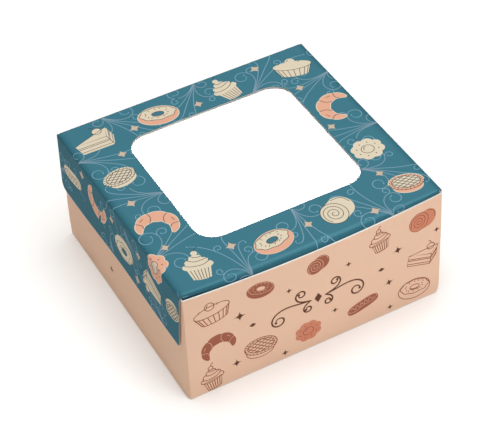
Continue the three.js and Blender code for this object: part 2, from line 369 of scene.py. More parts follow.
def board_finish():
    """The face of printed or bare board, shared by the sheets and their inks: its colour
    drifts a little, its shine is uneven, fibres show under the varnish, the crease mark turns it
    to a second colour (worn board on the tray, painted shade on the lid), and the print is chipped
    to the board's core along a cut edge."""
    tree = bpy.data.node_groups.new("board_finish", "ShaderNodeTree")
    for name, kind, value in (
        ("Colour", "NodeSocketColor", (1, 1, 1, 1)),
        ("Wear And Shade Colour", "NodeSocketColor", (1, 1, 1, 1)),
        ("Wear And Shade", "NodeSocketFloat", 0.0),
        ("Core Colour", "NodeSocketColor", (1, 1, 1, 1)),
        ("Drift", "NodeSocketFloat", 0.03),
        ("Roughness", "NodeSocketFloat", 0.5),
    ):
        socket = tree.interface.new_socket(name=name, in_out="INPUT", socket_type=kind)
        socket.default_value = value
    for name, kind in (
        ("Colour", "NodeSocketColor"), ("Roughness", "NodeSocketFloat"),
        ("Height", "NodeSocketFloat"),
    ):
        tree.interface.new_socket(name=name, in_out="OUTPUT", socket_type=kind)
    given = tree.nodes.new("NodeGroupInput").outputs
    result = tree.nodes.new("NodeGroupOutput").inputs
    place = tree.nodes.new("ShaderNodeTexCoord").outputs["Object"]

    def noise(scale, detail, roughness):
        node = tree.nodes.new("ShaderNodeTexNoise")
        for name, value in (
            ("Scale", scale), ("Detail", detail), ("Roughness", roughness), ("Vector", place),
        ):
            feed(tree, node.inputs[name], value)
        return node.outputs["Fac"]

    clouds = noise(45, 3, 0.5)
    fibres = noise(2600, 2, 0.6)
    ripple = noise(260, 2, 0.5)
    crease = mark_node(tree, "crease")

    drift = math_node(tree, "MULTIPLY_ADD", clouds, given["Drift"], 1.0)
    drift = math_node(tree, "MULTIPLY_ADD", fibres, given["Drift"], drift)
    drift = math_node(tree, "SUBTRACT", drift, given["Drift"])
    tinted = tree.nodes.new("ShaderNodeVectorMath")
    tinted.operation = "SCALE"
    feed(tree, tinted.inputs[0], given["Colour"])
    feed(tree, tinted.inputs["Scale"], drift)

    # Along the crease mark the face turns to its second colour: worn board on the tray, painted
    # shade on the lid's creases, flaps and front roll.
    wear_and_shade_mix = math_node(tree, "MULTIPLY", crease, noise(900, 3, 0.7))
    wear_and_shade_mix = math_node(tree, "MULTIPLY", wear_and_shade_mix, given["Wear And Shade"])
    wear_and_shade = mix_node(tree, wear_and_shade_mix, tinted.outputs[0], given["Wear And Shade Colour"])

    cut = mark_node(tree, "cut")
    chipped = math_node(tree, "MULTIPLY_ADD", noise(1500, 2, 0.6), 0.8, 0.75)
    chipped = math_node(tree, "MULTIPLY", cut, chipped)
    feed(tree, result["Colour"], mix_node(tree, chipped, wear_and_shade, given["Core Colour"]))

    shine = math_node(tree, "MULTIPLY_ADD", clouds, 0.12, given["Roughness"])
    shine = math_node(tree, "MULTIPLY_ADD", fibres, 0.06, shine)
    feed(tree, result["Roughness"], math_node(tree, "SUBTRACT", shine, 0.09))
    feed(tree, result["Height"], math_node(tree, "MULTIPLY_ADD", ripple, 0.6, fibres))
    return tree


finish = board_finish()
bare_white = colour(244, 243, 240)


def new_material(name):
    material = bpy.data.materials.new(name)
    material.use_nodes = True
    return material


def cover(piece, *materials):
    """Gives a piece its materials, in the order of its slots."""
    for material in materials:
        piece.data.materials.append(material)


def board_material(name, shade, wear_and_shade=None, wear_and_shade_amount=0.0, drift=0.03, roughness=0.5, relief=0.12):
    """A board face or an ink: the shared finish in a colour of its own."""
    material = new_material(name)
    tree = material.node_tree
    surface = tree.nodes["Principled BSDF"].inputs
    surface["Specular IOR Level"].default_value = 0.01
    face = tree.nodes.new("ShaderNodeGroup")
    face.node_tree = finish
    for given, value in (
        ("Colour", shade), ("Wear And Shade Colour", wear_and_shade or shade), ("Wear And Shade", wear_and_shade_amount),
        ("Core Colour", bare_white), ("Drift", drift), ("Roughness", roughness),
    ):
        face.inputs[given].default_value = value
    bump = tree.nodes.new("ShaderNodeBump")
    bump.inputs["Strength"].default_value = relief
    bump.inputs["Distance"].default_value = 0.1 * mm
    feed(tree, surface["Base Color"], face.outputs["Colour"])
    feed(tree, surface["Roughness"], face.outputs["Roughness"])
    feed(tree, bump.inputs["Height"], face.outputs["Height"])
    feed(tree, surface["Normal"], bump.outputs["Normal"])
    return material


peach_board = board_material("peach_board", colour(238, 200, 174), wear_and_shade=bare_white, wear_and_shade_amount=0.5)
bare_board = board_material("bare_board", bare_white, drift=0.02, roughness=0.75, relief=0.3)
cut_board = board_material(
    "cut_board", colour(240, 236, 228), drift=0.08, roughness=0.9, relief=0.6
)
cover(tray, peach_board, bare_board, cut_board)
thicken(tray, board, cut_slot=2)
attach(tray, "tray")
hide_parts("tray")


# The corner tabs: the ends of the front and rear walls, bent round and glued flat inside
# the side walls. Their free edges are cut back at a slant.
tab_width = 18 * mm
tab_base = 3 * mm
tab_top = 64 * mm
tab_slant = 4 * mm
glue = 0.02 * mm

for side, side_name in ((-1, "left"), (1, "right")):
    for end, start_y, end_name in ((-1, front_y + board, "front"), (1, rear_y - board, "rear")):
        tab = flat_sheet(
            f"tab_{side_name}_{end_name}", min(start_y, start_y - end * tab_width),
            max(start_y, start_y - end * tab_width), tab_base, tab_top,
        )
        free_y = start_y - end * tab_width
        for v in tab.data.vertices:
            if close_to(v.co.x, free_y):
                v.co.y += tab_slant if v.co.y < (tab_base + tab_top) / 2 else -tab_slant
        tab_x = side * (wall_x - 2 * board - glue) + tray_shift
        fold_up(tab, lambda x, y, z: Vector((tab_x, x, y)))
        if side > 0:
            tab.data.flip_normals()
        cover(tab, bare_board, cut_board)
        thicken(tab, board)
        for face in tab.data.polygons:
            face.material_index = 0 if abs(face.normal.x) > 0.5 else 1
        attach(tab, "tray")


# The lid: a sheet of the same board, printed teal outside, with a window die-cut in it. Its
# side flaps hang down outside the tray, and the tuck flap rolls down behind the front wall.
lid_top = 73.5 * mm - ink_room
panel_x = 75 * mm
lid_crease = 1 * mm
left_flare = math.radians(1.8)
right_flare = math.radians(-0.4)
right_spring = 1.45 * mm
spring_depth = 1.6 * mm
flap_lower_z = 35.9 * mm
flap_taper = 3.4 * mm
left_dent = 0.8 * mm
flap_rear_round = 5 * mm
flap_front_round = 1.5 * mm
lid_front_y = front_y + board + 0.3 * mm
roll_middle = 4 * mm
roll_end = 1.5 * mm
tuck_lean = math.radians(13)
tuck_lower_z = 51.5 * mm
tuck_taper = 3.2 * mm
tuck_round = 9 * mm
tuck_shoulder = 0.4 * mm
tuck_snug = 0.42 * mm
window_wide = 97.2 * mm
window_deep = 93.2 * mm
window_round = 12 * mm
window_x, window_y = 0.75 * mm, 3.4 * mm
rear_crease = 1 * mm
roll_steps = 10
tuck_steps = 8
spring_steps = 6
dent_steps = 16
spring_reach = 12 * mm  # a flap is scored down to this far below its fold
# Beside a side crease the painted shade begins, and then darkens faster.
shade_starts, shade_grows = 3.5 * mm, 1.2 * mm
shade_fades = 4 * mm  # down a flap it fades at a rate that would end it here
highlight_reach = 1.3 * mm
near_fold = 1 * mm  # of the front fold or a side crease
edge_reach = 1.8 * mm  # cut edges this far under the lid's top are in sight
hair = 0.001 * mm
chipped_edge = 0.3 * mm

flap_fold = lid_crease * math.pi / 2
flap_depth = flap_fold + lid_top - lid_crease - flap_lower_z
tuck_turn = math.pi / 2 + tuck_lean


def tuck_reach(radius):
    """How long the tuck flap is below the roll, where that has this radius."""
    return (lid_top - radius * (1 - math.cos(tuck_turn)) - tuck_lower_z) / math.cos(tuck_lean)


roll_arc = roll_middle * tuck_turn
tuck_run = tuck_reach(roll_middle)
fold_y = lid_front_y + roll_end
lid_rear_y = rear_y - rear_crease
window_front_y = window_y - window_deep / 2


def lid_point(across, y, lift):
    """A point of the lid's printed face. across and y are its place on the flat sheet,
    where the front fold is straight, and lift stands off the face."""
    past = abs(across) - panel_x
    if past > hair:
        hand = math.copysign(1, across)
        flare = right_flare if across > 0 else left_flare
        turn = min(past / flap_fold, 1) * (math.pi / 2 - flare)
        down = max(0, past - flap_fold)
        x = panel_x + (lid_crease + lift) * math.sin(turn) + down * math.sin(flare)
        if across > 0:
            x += right_spring * (1 - math.exp(-down / spring_depth))
        else:
            share = (y - lid_front_y) / (rear_y - lid_front_y)
            x -= left_dent * down / flap_depth * math.sin(math.pi * clamp(share, 0, 1)) ** 4
        z = lid_top - lid_crease + (lid_crease + lift) * math.cos(turn)
        return Vector((hand * x, y, z - down * math.cos(flare)))
    middle = 1 - (across / panel_x) ** 2
    radius = roll_end + (roll_middle - roll_end) * middle
    centre_y = lid_front_y - front_bow * middle + radius
    if y >= fold_y:
        drawn = max(0, (window_front_y - y) / (window_front_y - fold_y))
        return Vector((across, y + (centre_y - fold_y) * drawn, lid_top + lift))
    turn = min((fold_y - y) / roll_arc, 1) * tuck_turn
    down = max(0, fold_y - roll_arc - y) / tuck_run
    straight = tuck_reach(radius)
    fallen = down * straight
    corner = max(0, fallen - (straight - tuck_round))
    # The roll's ends lie snug against the side flaps before they go down into the tray.
    rolled = turn / tuck_turn
    narrowed = tuck_shoulder * rolled + tuck_taper * down
    narrowed -= tuck_snug * min(max(3.4 * rolled - 1, 0), max(7 - 7 * rolled, 0), 1)
    narrowed += tuck_round - math.sqrt(max(0, tuck_round ** 2 - corner ** 2))
    return Vector((
        across * (1 - narrowed / panel_x),
        centre_y - (radius + lift) * math.sin(turn) + fallen * math.sin(tuck_lean),
        lid_top - radius + (radius + lift) * math.cos(turn) - fallen * math.cos(tuck_lean),
    ))


def push_out(piece, x, y):
    bpy.ops.mesh.extrude_region_move(TRANSFORM_OT_translate={"value": (x, y, 0)})


lid = flat_sheet("lid_board", -panel_x, panel_x, fold_y, lid_rear_y)
open_mesh(lid)
bpy.ops.mesh.select_all(action="SELECT")
panel_middle = (fold_y + lid_rear_y) / 2
first_inset = 20 * mm
bpy.ops.mesh.inset(thickness=first_inset)
choose(lid, "VERT", lambda c: abs(c.x) < panel_x - first_inset / 2)
bpy.ops.transform.resize(
    value=(
        window_wide / (2 * (panel_x - first_inset)),
        window_deep / (lid_rear_y - fold_y - 2 * first_inset),
        1,
    ),
    center_override=(0, panel_middle, 0),
)
bpy.ops.transform.translate(value=(window_x, window_y - panel_middle, 0))
bpy.ops.mesh.bevel(
    offset=window_round, offset_type="OFFSET", segments=12, affect="VERTICES",
    clamp_overlap=False,
)
choose(lid, "FACE", lambda c: abs(c.x) < window_wide / 4 and abs(c.y - window_y) < window_deep / 4)
bpy.ops.mesh.delete(type="FACE")
# Steps out along each flap: how far past the panel, and where its front edge is there.
notch, relief = 2 * lid_crease, 4 * mm
flap_fronts = {
    -1: (
        (0.5 * notch, lid_front_y - 0.2 * mm), (notch, lid_front_y - 0.8 * mm),
        (1.5 * notch, lid_front_y - 0.5 * mm), (relief, lid_front_y),
        (flap_depth, lid_front_y + flap_taper),
    ),
    1: (
        (0.5 * notch, lid_front_y + 0.2 * mm), (notch, lid_front_y),
        (1.4 * notch, lid_front_y + 0.4 * mm), (relief, lid_front_y + 1.8 * mm),
        (flap_depth, lid_front_y + flap_taper),
    ),
}
for hand, steps in flap_fronts.items():
    reached, front = 0, fold_y
    for past, next_front in steps:
        choose(lid, "EDGE", lambda c: close_to(c.x, hand * (panel_x + reached)))
        push_out(lid, hand * (past - reached), 0)
        choose(lid, "VERT", lambda c: close_to(c.x, hand * (panel_x + past)) and c.y < 0)
        bpy.ops.transform.translate(value=(0, next_front - front, 0))
        if reached == 0:
            choose(lid, "VERT", lambda c: close_to(c.x, hand * (panel_x + past)) and c.y > 0)
            bpy.ops.transform.translate(value=(0, rear_crease, 0))
        reached, front = past, next_front
for end, radius in ((1, flap_rear_round), (-1, flap_front_round)):
    choose(lid, "VERT", lambda c: close_to(abs(c.x), panel_x + flap_depth) and c.y * end > 0)
    bpy.ops.mesh.bevel(offset=radius, offset_type="OFFSET", segments=8, affect="VERTICES")
choose(lid, "EDGE", lambda c: close_to(c.y, fold_y) and abs(c.x) < panel_x)
push_out(lid, 0, -roll_arc - tuck_run)
flap_lines = both_sides([
    panel_x + past for past in evenly(0, flap_fold, fold_steps)
    + [flap_fold + spring_reach * share ** 1.6 for share in evenly(0, 1, spring_steps)[1:]]
])
wear_lines = both_sides([panel_x - shade_starts, panel_x - shade_grows])
dent_lines = evenly(lid_front_y, rear_y, dent_steps)[1:-1]
bow_lines = evenly(-panel_x, panel_x, front_steps)[1:-1]
roll_lines = evenly(fold_y, fold_y - roll_arc, roll_steps)
tuck_lines = [
    fold_y - roll_arc - tuck_run * math.sin(math.pi / 2 * share)
    for share in evenly(0, 1, tuck_steps)
]


def on_left_flap(middle):
    return middle.x < -panel_x


score(lid, 0, wear_lines + flap_lines)
score(lid, 0, both_sides([panel_x + flap_depth - chipped_edge]))
score(lid, 1, dent_lines, on_left_flap)
score(lid, 1, [fold_y + near_fold])
score(lid, 0, bow_lines, lambda c: c.y < fold_y + near_fold)
score(lid, 1, roll_lines, lambda c: abs(c.x) < panel_x)
score(lid, 1, tuck_lines, lambda c: c.y < fold_y - roll_arc)
bpy.ops.mesh.select_all(action="SELECT")
bpy.ops.mesh.normals_make_consistent(inside=False)
bpy.ops.object.mode_set(mode="OBJECT")
if sum(face.normal.z * face.area for face in lid.data.polygons) < 0:
    lid.data.flip_normals()


def highlight_middle(across):
    """Where the painted highlight runs along the front roll: lower down towards its ends,
    and at the right end all but under the edge."""
    share = across / panel_x
    return fold_y - (1.6 + 0.5 * share ** 2 + 1.4 * max(0, share) ** 4) * mm


def lid_painted_shade(across, y):
    """Painted shade: the print is drawn darkest in the side creases, and somewhat dark beside
    them, on the flaps and where the roll along the front turns under."""
    past = abs(across) - panel_x
    if past >= 0:
        return clamp(1 - (past - flap_fold) / shade_fades, 0.55, 1)
    beside = min(
        0.5 * (past + shade_starts) / (shade_starts - shade_grows),
        0.5 + 0.5 * (past + shade_grows) / shade_grows,
    )
    under = 0.9 * min((highlight_middle(across) - y) / mm - 0.9, 1)
    return max(0, beside, under)


def lid_polish(across, y):
    """Painted highlight: a lighter streak where the roll along the front begins, which also gets a
    coat.
    """
    if abs(across) > panel_x - hair:
        return 0
    streak = 1 - abs(highlight_middle(across) - y) / highlight_reach
    return (0.7 + 0.15 * across / panel_x) * max(0, streak)


fold_up(
    lid, lid_point, crease=lid_painted_shade, polish=lid_polish,
    cut=lambda across, y: 1 if abs(across) > panel_x + flap_depth - hair else 0,
)


def tint_by(material, mark, plain, full):
    """Lets one of the sheet's marks turn the face's colour from plain to full."""
    tree = material.node_tree
    amount = mark_node(tree, mark)
    face = next(node for node in tree.nodes if node.type == "GROUP")
    feed(tree, face.inputs["Colour"], mix_node(tree, amount, plain, full))
    return amount


teal_shade = colour(68, 124, 141)
# Its darker teal, which the crease mark brings in on the lid, is painted shade.
teal_board = board_material(
    "teal_board", teal_shade, wear_and_shade=colour(42, 92, 107), wear_and_shade_amount=1.2, drift=0.06, roughness=0.45
)
tree = teal_board.node_tree
varnish = tree.nodes["Principled BSDF"].inputs
varnish["Coat Roughness"].default_value = 0.35
# The mark along the front roll paints a lighter teal there, a painted highlight, and lays a coat
# over the same streak.
polish = tint_by(teal_board, "polish", teal_shade, colour(79, 143, 160))
feed(tree, varnish["Coat Weight"], math_node(tree, "MULTIPLY", polish, 0.3))
# The lid's cut edges are drawn grey instead of the white of the board's core: painted shade.
shade_grey_cut = board_material("shade_grey_cut", colour(156, 160, 158), drift=0.1, roughness=0.9, relief=0.6)
lid_faces = (teal_board, bare_board, shade_grey_cut, cut_board)
cover(lid, *lid_faces)
thicken(lid, board, cut_slot=lid_faces.index(shade_grey_cut))
# The window's cut edge is clean, and where the creases end at the front, the ink has run
# over the cut edge.
for face in lid.data.polygons:
    middle = face.center
    if lid_faces[face.material_index] == shade_grey_cut and middle.z > lid_top - edge_reach:
        if abs(middle.x - window_x) < window_wide / 2 + hair and middle.y > fold_y + near_fold:
            face.material_index = lid_faces.index(cut_board)
        elif abs(middle.x) > panel_x - near_fold and middle.y < 0:
            face.material_index = lid_faces.index(teal_board)
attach(lid, "lid")
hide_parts("lid")


# The rear crease, where the tray's rear wall bends over into the lid: the one part of the
# sheet that bends when the lid is lifted.
crease_arc = rear_crease * math.pi / 2
crease_steps = 8
crease_darkening = 0.7  # how far the print there turns to the teal's darker colour
hinge = flat_sheet("rear_crease", -front_half, front_half, 0, crease_arc)
open_mesh(hinge)
score(hinge, 1, evenly(0, crease_arc, crease_steps)[1:-1])
bpy.ops.object.mode_set(mode="OBJECT")


def crease_point(x, run, lift):
    """A point of the crease's outer face, this far up the sheet from the rear wall."""
    turn = run / rear_crease
    reach = rear_crease + lift
    return Vector((
        x,
        rear_y - rear_crease + reach * math.cos(turn),
        lid_top - rear_crease + reach * math.sin(turn),
    ))


fold_up(hinge, crease_point, crease=lambda x, run: crease_darkening)
hinge.data.flip_normals()
cover(hinge, teal_board, bare_board, shade_grey_cut)
thicken(hinge, board, cut_slot=2)
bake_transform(hinge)


# The print on the lid: five inks laid on the flat sheet before it was cut and folded, so the
# motifs run over the creases and are cut off at the window. Each ink is a thin skin, and so
# are the pale scuffs at the front left corner.
def smooth_line(points, closed=False, steps=6):
    """A soft curve through a few points."""
    guides = [points[-1], *points, *points[:2]] if closed else [points[0], *points, points[-1]]
    curve = []
    for i in range(len(guides) - 3):
        a, b, c, d = guides[i:i + 4]
        for k in range(steps):
            t = k / steps
            curve.append(tuple(
                0.5 * (
                    2 * q + (r - p) * t + (2 * p - 5 * q + 4 * r - s) * t * t
                    + (3 * q - p - 3 * r + s) * t ** 3
                )
                for p, q, r, s in zip(a, b, c, d)
            ))
    return curve if closed else curve + [points[-1]]


def on_oval(turn, x, y, wide, high):
    """The point of an oval at this turn from its right."""
    return x + wide * math.cos(turn), y + high * math.sin(turn)


def oval(x, y, wide, high, first=0, last=360, steps=36):
    """Points round an oval, or along a part of it; angles are in degrees from its right."""
    turns = evenly(math.radians(first), math.radians(last), steps)
    if last - first == 360:
        turns.pop()
    return [on_oval(turn, x, y, wide, high) for turn in turns]


def round_shape(x, y, wide, high, steps, swell):
    """Points round an oval that stands out or draws in, as swell says for each turn."""
    return [
        on_oval(turn, x, y, wide * swell(turn), high * swell(turn))
        for turn in evenly(0, 2 * math.pi, steps)[:-1]
    ]


def mirrored(half):
    """A shape that is alike on both sides, from its right half, bottom to top."""
    return half + [(-x, y) for x, y in reversed(half) if x != 0]


def cupcake():
    """A cake in a pleated case under three turns of piped cream, with a cherry."""
    case = [
        (-0.37, -0.02), (-0.27, -0.49), (-0.1, -0.53), (0.1, -0.53), (0.27, -0.49), (0.37, -0.02),
    ]
    cream = smooth_line(mirrored([
        (0.2, -0.09), (0.38, -0.05), (0.47, 0.05), (0.42, 0.16), (0.34, 0.19), (0.36, 0.27),
        (0.28, 0.35), (0.2, 0.37), (0.19, 0.45), (0.09, 0.51), (0, 0.52),
    ]), closed=True, steps=4)
    pleats = [
        [(0.37 * share, -0.07 - 0.03 * math.cos(share * 1.5)), (0.28 * share, -0.51)]
        for share in (-0.72, -0.43, -0.14, 0.14, 0.43, 0.72)
    ]
    swirls = [
        smooth_line([(-0.4, 0.15), (-0.15, 0.06), (0.15, 0.07), (0.36, 0.18)]),
        smooth_line([(-0.26, 0.36), (-0.08, 0.25), (0.14, 0.26), (0.33, 0.31)]),
        smooth_line([(-0.12, 0.5), (-0.02, 0.42), (0.12, 0.41), (0.2, 0.43)]),
    ]
    return {
        "body": [case, cream, oval(0.02, 0.6, 0.1, 0.1, steps=20)],
        "lines": pleats + swirls + [smooth_line([(0.04, 0.69), (0.08, 0.78), (0.17, 0.83)])],
    }


def doughnut():
    """A ring under icing with a wavy edge and sprinkles, seen from a little above."""
    hole = oval(0, 0.07, 0.15, 0.075, steps=24)
    icing = round_shape(
        0, 0.075, 0.44, 0.235, 72, lambda turn: 1 + 0.045 * math.sin(8 * turn + 1)
    )
    sprinkles = []
    for i in range(13):
        turn, lean = 2.4 * i + 0.4, 1.9 * i
        reach = 0.24 + 0.1 * ((i * 0.618) % 1)
        x, y = on_oval(turn, 0, 0.08, reach, 0.56 * reach)
        sprinkles.append([on_oval(lean, x, y, end, end) for end in (-0.025, 0.025)])
    return {
        "body": [oval(0, 0, 0.5, 0.34)], "holes": [hole], "pale": [icing],
        "lines": sprinkles + [oval(0, 0.045, 0.15, 0.075, 200, 340, 12)],
        "edges": [icing, hole],
    }


def croissant():
    """A crescent of five rolled turns that swell in the middle."""
    outer, inner, seams = [], [], []
    turns = 5
    for i in range(61):
        share = i / 60
        turn = math.radians(205 - 230 * share)
        swell = 0.035 + 0.15 * math.sin(math.pi * share) ** 0.8
        bulge = abs(math.sin(turns * math.pi * share)) ** 0.6
        for places, thick in (
            (outer, swell * (1 + 0.16 * bulge)), (inner, -swell * (0.75 + 0.1 * bulge))
        ):
            places.append(on_oval(turn, 0, -0.2, 0.4 + thick, 0.95 * (0.4 + thick)))
    for k in range(1, turns):
        a, b = outer[12 * k], inner[12 * k + (-5 if k < 3 else 5)]
        middle = ((a[0] + b[0]) / 2 + (0.05 if k < 3 else -0.05), (a[1] + b[1]) / 2 + 0.02)
        seams.append(smooth_line([a, middle, b]))
    glints = []
    for k, hand in ((1, 1), (3, -1)):
        ends = outer[12 * k + 6 - 3 * hand], outer[12 * k + 6 + hand]
        glints.append([(x * 0.84, -0.2 + (y + 0.2) * 0.84) for x, y in ends])
    return {"body": [outer + inner[::-1]], "lines": seams + glints}


def tartlet():
    """A fluted pastry case seen from a little above, with a berry that stands out of it."""
    rim = oval(0, 0.03, 0.5, 0.17, 180, 360, 24)
    case = [(-0.5, 0.03)] + oval(0, -0.31, 0.37, 0.11, 180, 360, 16)
    case += oval(0, 0.03, 0.5, 0.17, 0, 180, 20)[:-1]
    berry = oval(-0.02, 0.2, 0.13, 0.13, steps=18)
    flutes = [
        [on_oval(turn, 0, 0.03, 0.5, 0.17), on_oval(turn, 0, -0.31, 0.37, 0.11)]
        for turn in (math.radians(a) for a in range(198, 350, 18))
    ]
    glints = [
        oval(x, y, size, size, 110, 170, 5)
        for x, y, size in ((-0.27, 0.12, 0.07), (-0.02, 0.2, 0.08), (0.25, 0.13, 0.07))
    ]
    return {"body": [case, berry], "lines": flutes + [rim] + glints}


def pie():
    """A round pie seen from a little above, with a lattice on top and a crimped rim."""
    dish = [(-0.5, 0.07)] + oval(0, -0.12, 0.42, 0.24, 180, 360, 20)
    dish += oval(0, 0.07, 0.5, 0.31, 0, 180, 24)[:-1]
    top = oval(0, 0.08, 0.41, 0.24)
    slope = 0.7071  # the lattice runs at 45 degrees
    lattice = []
    for slant in (-1, 1):
        for k in range(-2, 3):
            away, half = 0.36 * k, math.sqrt(1 - (0.36 * k) ** 2)
            lattice.append([
                (0.41 * (away + slant * end * half) * slope,
                 0.08 + 0.24 * (slant * away - end * half) * slope)
                for end in (-1, 1)
            ])
    crimps = [
        [on_oval(turn, 0, 0.075, 0.44, 0.265), on_oval(turn, 0, 0.07, 0.49, 0.3)]
        for turn in (math.radians(15 * k + 4) for k in range(24))
    ]
    rim = oval(0, 0.07, 0.5, 0.31, 184, 356, 30)
    return {"body": [dish], "pale": [top], "lines": lattice + crimps + [rim], "edges": [top]}


def bun():
    """A rolled bun lying on its side, with the spiral of its end to the front."""
    back = oval(0.14, 0.06, 0.34, 0.36, -78, 92, 18)
    front = oval(-0.13, -0.02, 0.34, 0.36, 92, 282, 20)
    end = oval(-0.13, -0.02, 0.34, 0.36)
    spiral = []
    for share in evenly(0, 1, 45):
        turn = math.radians(60 + 880 * share)
        spiral.append(on_oval(turn, -0.13, -0.02, 0.03 + 0.26 * share, 0.03 + 0.28 * share))
    fold = smooth_line([(0.1, 0.38), (0.36, 0.3), (0.44, 0.06)])
    return {"body": [back + front], "lines": [spiral, fold], "edges": [end]}


def eclair():
    """A long bun with a coat of icing and a thread of chocolate to and fro."""
    body = []
    icing = []
    for i in range(48):
        turn = math.radians(7.5 * i)
        reach = (abs(math.cos(turn)) ** 3 + abs(math.sin(turn)) ** 3) ** (-1 / 3)
        body.append(on_oval(turn, 0, 0, 0.53 * reach, 0.2 * reach))
        high = 0.1 + 0.025 * math.sin(5 * turn) if math.sin(turn) < 0 else 0.165
        icing.append(on_oval(turn, 0, 0.035, 0.49 * reach, high * reach))
    thread = [
        (-0.38 + 0.76 * share, 0.055 + 0.07 * math.sin(2 * math.pi * 5 * share))
        for share in evenly(0, 1, 40)
    ]
    return {"body": [body], "pale": [icing], "lines": [thread], "edges": [icing]}


def cake_slice():
    """A wedge of layered cake with a berry on top."""
    tip, near, far = top = [(-0.48, 0.05), (0.3, -0.1), (0.46, 0.2)]
    foot, *layers = [[(x, y - depth) for x, y in top] for depth in (0.36, 0.12, 0.17, 0.29)]
    berry = oval(0.22, 0.2, 0.12, 0.11, steps=20)
    stalk = [(0.22, 0.3), (0.19, 0.38), (0.12, 0.41)]
    return {
        "body": [[tip, *foot, far], berry], "edges": [top, berry],
        "lines": layers + [[near, foot[1]], stalk],
    }


def biscuit():
    """A flower-shaped biscuit with jam in its middle and a ring of pricked dots."""
    flower = round_shape(0, 0, 1, 0.9, 96, lambda turn: 0.41 + 0.06 * abs(math.sin(4 * turn)))
    jam = oval(0, 0, 0.18, 0.16, steps=24)
    pricks = [
        oval(*on_oval(math.radians(45 * k + 22), 0, 0, 0.3, 0.27), 0.012, 0.012, 0, 350, 6)
        for k in range(8)
    ]
    glint = oval(0.02, 0.02, 0.12, 0.1, 100, 190, 8)
    return {"body": [flower], "pale": [jam], "lines": pricks + [glint], "edges": [jam]}


def sparkle(hollow):
    """The outline of a four-pointed star, the thinner the more hollow its sides are."""
    def drawn_in(share):
        return 0.5 * math.copysign(abs(share) ** hollow, share)

    turns = [math.radians(11.25 * i) for i in range(32)]
    return [(drawn_in(math.cos(turn)), drawn_in(math.sin(turn))) for turn in turns]


def curl(x, y, heading, length, turning, growth=1.5, sway=0, hook=0):
    """A line that winds up ever tighter, as the pen does in a flourish: its points, each
    with its heading. sway bends its middle to one side, and hook only turns its end."""
    places = []
    steps = 48
    for i in range(steps + 1):
        share = i / steps
        way = heading + math.radians(
            sway * math.sin(math.pi * share) + turning * share ** growth + hook * share ** 9
        )
        places.append((x, y, way))
        x += length / steps * math.cos(way)
        y += length / steps * math.sin(way)
    return places


def flourish(x, y, heading, length, hand):
    """Scrollwork: strands that leave one root together and part, two of them to wind up on
    either side, with lesser curls off them. Each is given with its shares of the way from
    the root, for its colour."""
    lines = []
    for leaving, reach, sway, turning, growth, hook in (
        (16, 1.05, -14, 450, 2.0, 0),
        (8, 0.80, 12, 8, 1.2, 240),
        (3, 1.02, 17, -22, 1.3, 220),
        (-3, 1.12, 12, -46, 1.4, 0),
        (-10, 0.98, 16, -455, 1.9, 0),
        (-18, 0.46, 4, -330, 1.5, 0),
    ):
        lines.append((
            curl(
                x, y, math.radians(heading + leaving * hand), length * reach, turning * hand,
                growth, sway * hand, hook * hand,
            ),
            0, reach,
        ))
    for strand, at, side, reach in ((0, 20, -1, 0.34), (4, 22, 1, 0.3), (3, 29, 1, 0.3)):
        place = lines[strand][0][at]
        way = place[2] - 0.06 * side * hand
        lines.append((
            curl(place[0], place[1], way, length * reach, 340 * side * hand), 0.4, 1,
        ))
    return lines


lot_lift, lot_levels = 0.0005 * mm, 13  # how far apart an ink's lots lie, and on how many levels
least_face = 0.005 * mm
off_sheet = 0.02 * mm


